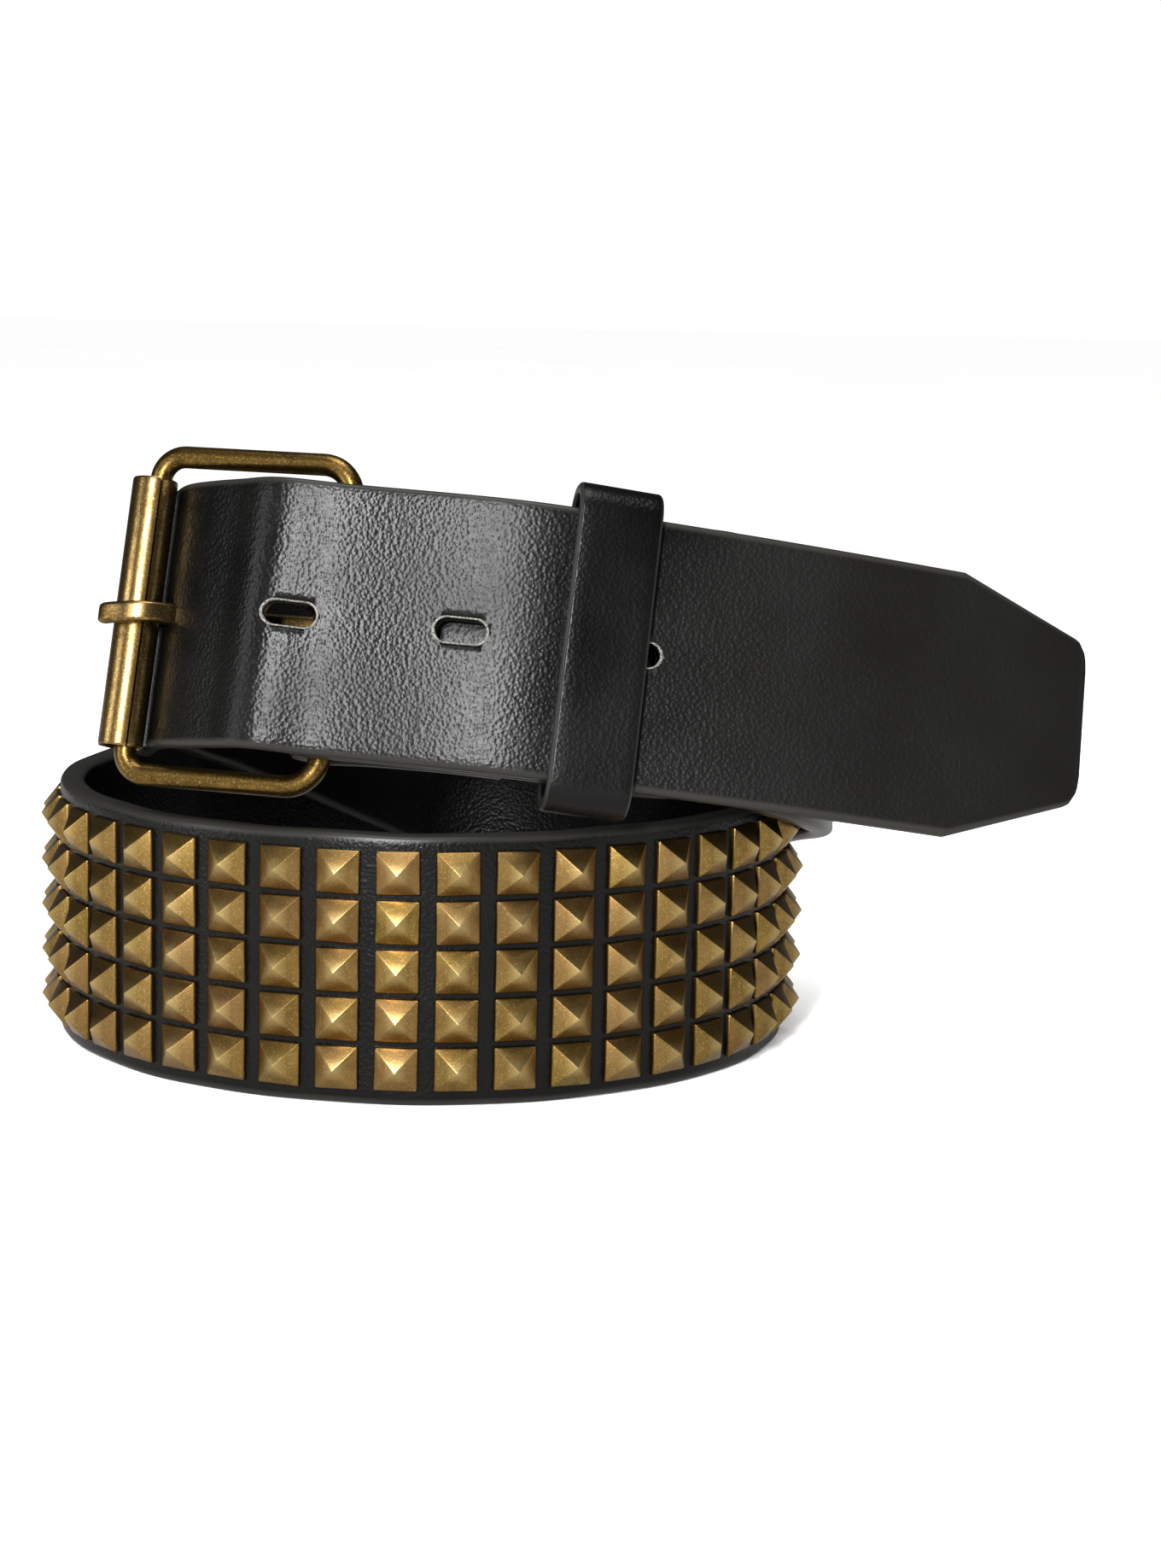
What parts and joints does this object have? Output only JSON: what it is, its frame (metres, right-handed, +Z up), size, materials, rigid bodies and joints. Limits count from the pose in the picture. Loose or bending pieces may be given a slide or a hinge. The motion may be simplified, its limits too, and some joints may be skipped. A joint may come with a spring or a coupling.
{
  "type": "studded belt",
  "caption": "Wide black leather belt set with rows of square pyramid studs, fastened at a roller buckle and keeper, its clipped tip free, standing on edge as a coil.",
  "frame": {"origin": "under the middle of the whole belt's bounding box, on the surface that the coil's lower edge stands on", "axes": "+Z up along the strap's width, the buckle and the free end look along -Y, +X to the viewer's right, where the free end points"},
  "size_m": [0.2346, 0.1786, 0.1353],
  "materials": {
    "black_leather": "semi-gloss pebbled bonded leather with painted edges; its studs are antique brass plate",
    "keeper_leather": "smooth semi-gloss bonded leather",
    "antique_brass": "antique plate, darkened and brushed back",
    "roller_brass": "antique plate, worn bright by use",
    "prong_brass": "antique plate, worn bright at its tip"
  },
  "bodies": {
    "root": {"studded_strap": "black_leather", "keeper_loop": "keeper_leather", "buckle_frame": "antique_brass", "roller": "roller_brass", "prong": "prong_brass"}
  },
  "joints": []
}
